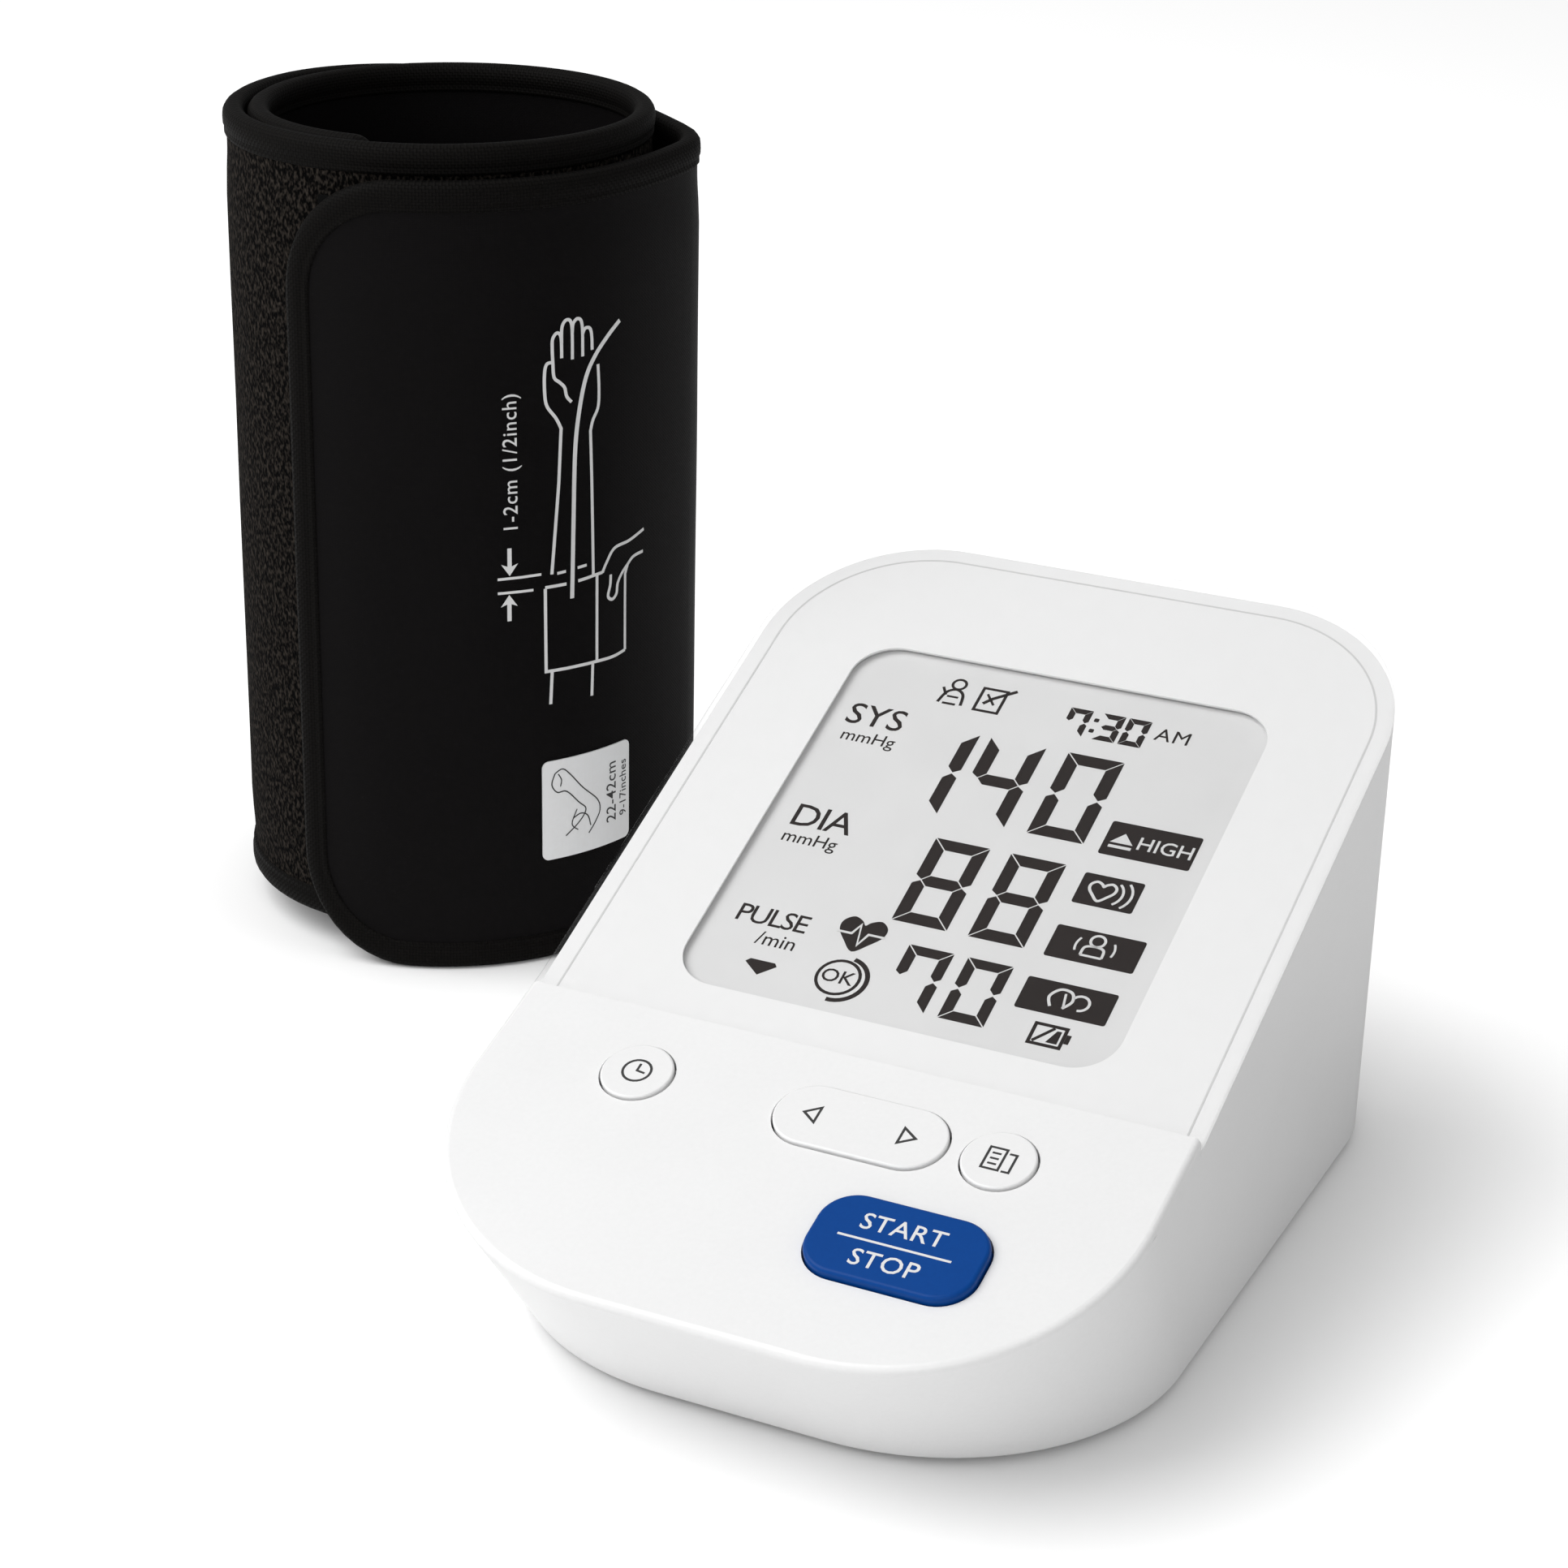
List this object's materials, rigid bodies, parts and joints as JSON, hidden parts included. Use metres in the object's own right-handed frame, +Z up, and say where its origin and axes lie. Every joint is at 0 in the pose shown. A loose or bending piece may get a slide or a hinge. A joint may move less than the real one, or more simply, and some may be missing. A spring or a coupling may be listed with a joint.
{
  "type": "upper arm blood pressure monitor",
  "caption": "Wedge-shaped home blood pressure monitor with a large sloping display and press keys, beside its rolled fabric arm cuff.",
  "frame": {"origin": "centre of the whole set's footprint, on the table, unit and cuff as they stand together", "axes": "+X to the unit's right, +Y from its keys towards its back, +Z up; the cuff stands behind on the left, towards -X and +Y"},
  "size_m": [0.221, 0.1978, 0.145],
  "materials": {
    "white_case": "satin white ABS",
    "clear_cover": "clear polished acrylic",
    "printed_white": "white print",
    "display_glass": "reflective LCD glass",
    "blue_key": "satin blue",
    "white_key": "satin white",
    "circuit_board": "green solder mask",
    "black_plastic": "moulded black",
    "grey_plastic": "moulded grey",
    "steel": "zinc plated",
    "contact_metal": "nickel plated",
    "copper_coil": "enamelled copper",
    "cell_jacket": "printed foil jacket",
    "rubber": "matt",
    "silicone": "translucent silicone",
    "black_nylon": "smooth woven nylon",
    "loop_fabric": "brushed loop pile",
    "black_binding": "ribbed binding tape",
    "hook_tape": "hook tape"
  },
  "bodies": {
    "unit": {"upper_case": "white_case", "lower_case": "white_case", "display_cover": "clear_cover", "display_mask": "printed_white", "lcd_panel": "display_glass", "lcd_holder": "white_case", "zebra_strips": "black_plastic", "main_board": "circuit_board", "board_chips": "black_plastic", "key_board": "circuit_board", "key_switches": "black_plastic", "board_screws": "steel", "rocker_pin": "steel", "batteries": "cell_jacket", "battery_contacts": "contact_metal", "battery_springs": "contact_metal", "pump_motor": "steel", "pump_head": "black_plastic", "pump_strap": "steel", "air_manifold": "grey_plastic", "pressure_sensor": "black_plastic", "pump_hose": "silicone", "jack_hose": "silicone", "valve_hose": "silicone", "air_jack": "grey_plastic", "dc_jack": "black_plastic", "valve_frame": "steel", "valve_coil": "copper_coil", "valve_spring": "steel", "valve_cap": "black_plastic", "case_screws": "steel", "rubber_feet": "rubber"},
    "start_key": {"start_stop_button": "blue_key"},
    "clock_key": {"clock_button": "white_key"},
    "memory_key": {"memory_button": "white_key"},
    "arrow_key": {"arrow_rocker": "white_key"},
    "battery_door": {"battery_cover": "white_case"},
    "pump_rotor": {"pump_shaft": "steel"},
    "valve_armature": {"valve_plunger": "steel"},
    "cuff": {"cuff_flap_cloth": "black_nylon", "cuff_loop_cloth": "loop_fabric", "cuff_inner_cloth": "black_nylon", "cuff_bladder": "rubber", "cuff_stay": "grey_plastic", "cuff_binding": "black_binding", "cuff_hook_patch": "hook_tape", "cuff_nozzle": "black_plastic"}
  },
  "joints": [
    {"name": "start_press", "type": "slide", "parent": "unit", "child": "start_key", "axis": [0, 0.314, -0.9494], "range_m": [0, 0.0008], "stiffness_N_per_m": 400, "springref_m": -0.001},
    {"name": "clock_press", "type": "slide", "parent": "unit", "child": "clock_key", "axis": [0, 0.314, -0.9494], "range_m": [0, 0.0006], "stiffness_N_per_m": 300, "springref_m": -0.0008},
    {"name": "memory_press", "type": "slide", "parent": "unit", "child": "memory_key", "axis": [0, 0.314, -0.9494], "range_m": [0, 0.0006], "stiffness_N_per_m": 300, "springref_m": -0.0008},
    {"name": "arrow_rock", "type": "hinge", "parent": "unit", "child": "arrow_key", "pos_m": [0.06495, -0.05855, 0.03427], "axis": [0, 0.9494, 0.314], "range_deg": [-2.4, 2.4], "stiffness_Nm_per_rad": 0.1},
    {"name": "battery_door_slide", "type": "slide", "parent": "unit", "child": "battery_door", "axis": [0, 1, 0], "range_m": [0, 0.066]},
    {"name": "pump_spin", "type": "hinge", "parent": "unit", "child": "pump_rotor", "pos_m": [0.03805, 0.02475, 0.0345], "axis": [1, 0, 0], "continuous": true},
    {"name": "valve_stroke", "type": "slide", "parent": "unit", "child": "valve_armature", "axis": [0, 0, -1], "range_m": [0, 0.001], "stiffness_N_per_m": 100, "springref_m": -0.005, "deforming": ["valve_spring"]},
    {"name": "cuff_lift", "type": "slide", "parent": "unit", "child": "cuff", "axis": [0, 0, 1], "range_m": [0, 0.15]}
  ]
}
